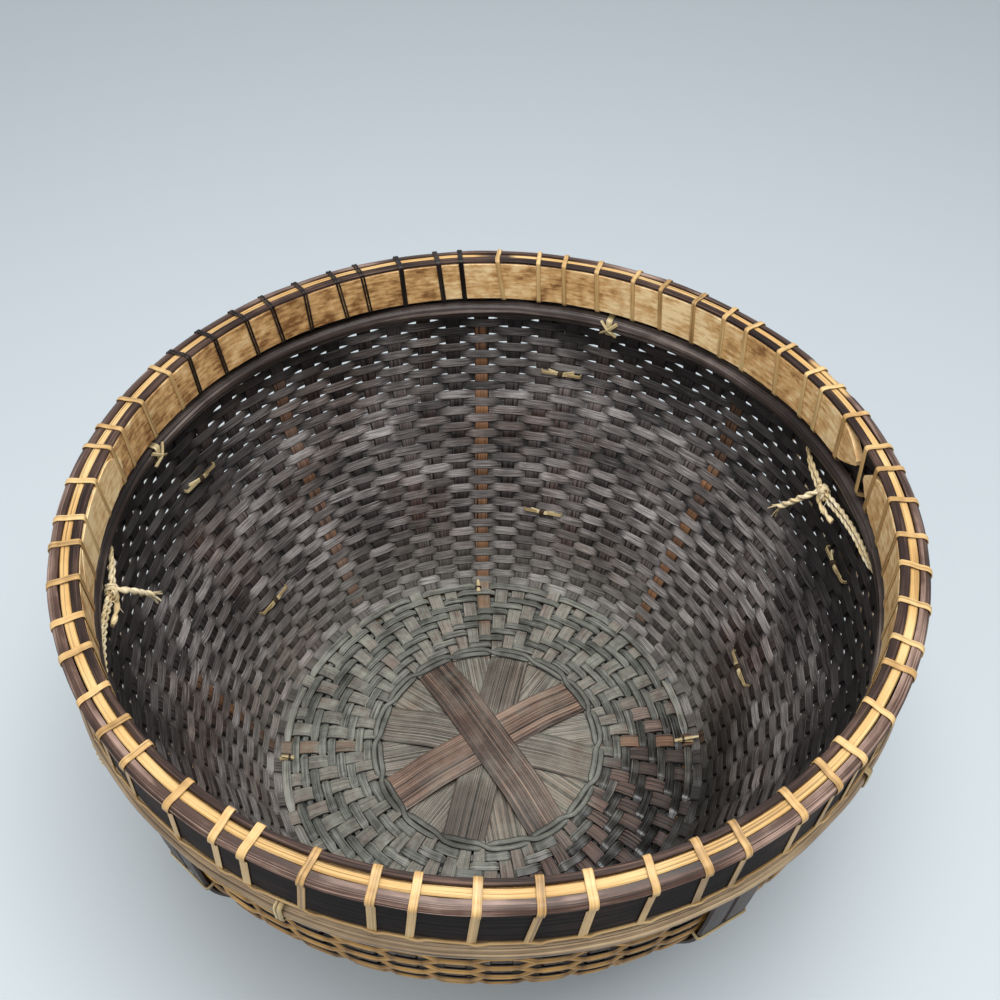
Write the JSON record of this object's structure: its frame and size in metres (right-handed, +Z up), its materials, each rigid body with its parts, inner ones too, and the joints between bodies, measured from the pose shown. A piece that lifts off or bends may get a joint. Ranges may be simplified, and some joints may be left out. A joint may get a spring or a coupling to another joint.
{
  "type": "bamboo basket",
  "caption": "Round open bamboo basket with a flat woven base, flaring woven wall, lashed double rim, outer ribs, a foot hoop and cord handles",
  "frame": {"origin": "centre of the plane that the foot hoop stands on", "axes": "+Z up along the basket's axis; -Y is the side nearest the picture's viewer; +X is the side of the cord knot on the right"},
  "size_m": [0.4475, 0.4464, 0.26],
  "materials": {
    "base_strip": "worn split bamboo, dusty grey-brown",
    "binding_strand": "twisted thin splint, dusty",
    "base_weave": "split bamboo weave, grey-olive and dusty",
    "wall_weave": "aged split bamboo weave, dark purple-brown with a slight sheen",
    "foot_hoop": "split bamboo rod, worn",
    "tan_hoop": "flat bamboo hoop, mottled tan, satin",
    "black_band": "smoked bamboo band, black-brown with fine lengthwise grain",
    "pale_strip": "pale yellow bamboo with fine splits",
    "dark_strip": "thin dark-brown bamboo strip",
    "brown_strip": "half-round brown bamboo rod, satin",
    "tan_lashing": "narrow bamboo splint, satin tan",
    "dark_lashing": "narrow bamboo splint, dark brown",
    "dark_hoop": "half-round bamboo hoop, dark grey-brown with grooves",
    "rib": "flat dark bamboo slat",
    "tie": "twisted tan splint",
    "cord": "two-ply natural fibre cord, matt with stray fibres"
  },
  "bodies": {
    "root": {"base_strip_1": "base_strip", "base_strip_2": "base_strip", "base_strip_3": "base_strip", "base_strip_4": "base_strip", "base_strip_5": "base_strip", "base_strip_6": "base_strip", "base_strip_7": "base_strip", "base_strip_8": "base_strip", "binding_strand_1": "binding_strand", "binding_strand_2": "binding_strand", "base_weave": "base_weave", "wall_weave": "wall_weave", "foot_hoop": "foot_hoop", "inner_hoop": "tan_hoop", "outer_band": "black_band", "rim_core_strip": "pale_strip", "rim_inner_strip": "dark_strip", "rim_outer_strip": "brown_strip", "lashing_tan": "tan_lashing", "lashing_dark": "dark_lashing", "lower_hoop_inner": "dark_hoop", "lower_hoop_outer": "dark_hoop", "hoop_tie_1": "tie", "hoop_tie_2": "tie", "hoop_tie_3": "tie", "hoop_tie_4": "tie", "rib_1_slat_a": "rib", "rib_1_slat_b": "rib", "rib_2_slat_a": "rib", "rib_2_slat_b": "rib", "rib_3_slat_a": "rib", "rib_3_slat_b": "rib", "rib_4_slat_a": "rib", "rib_4_slat_b": "rib", "rib_5_slat_a": "rib", "rib_5_slat_b": "rib", "rib_tie_1": "tie", "rib_tie_2": "tie", "rib_tie_3": "tie", "rib_tie_4": "tie", "rib_tie_5": "tie", "rib_tie_6": "tie", "rib_tie_7": "tie", "rib_tie_8": "tie", "rib_tie_9": "tie", "rib_tie_10": "tie", "foot_tie_1": "tie", "foot_tie_2": "tie", "foot_tie_3": "tie", "foot_tie_4": "tie", "handle_cord_right_1": "cord", "handle_cord_right_2": "cord", "handle_knot_right": "cord", "handle_cord_left_1": "cord", "handle_cord_left_2": "cord", "handle_knot_left": "cord"}
  },
  "joints": []
}
